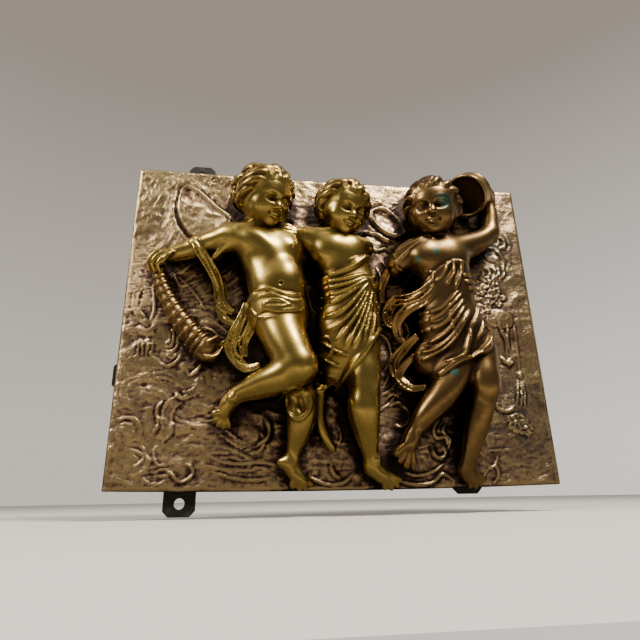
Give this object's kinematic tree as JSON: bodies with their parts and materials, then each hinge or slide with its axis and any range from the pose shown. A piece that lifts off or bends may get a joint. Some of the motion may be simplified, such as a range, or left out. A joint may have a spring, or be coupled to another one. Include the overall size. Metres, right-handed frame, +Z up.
{
  "type": "relief plaque",
  "caption": "Upright rectangular cast bronze wall plaque in high relief: dancing putti with quiver and tambourine before a cloud ground, on iron hanging bars.",
  "frame": {"origin": "middle of the cross bar's back face, which lies against the wall", "axes": "+X to the viewer's right, +Z up as the plaque hangs, the relief faces -Y"},
  "size_m": [0.39, 0.0742, 0.326],
  "materials": {
    "bronze": "cast and chased, golden polish on the figures, brown patina in the hollows",
    "iron": "dark flat bar, dull oxide skin"
  },
  "bodies": {
    "root": {"relief": "bronze", "left_strap": "iron", "right_strap": "iron", "cross_bar": "iron"}
  },
  "joints": []
}
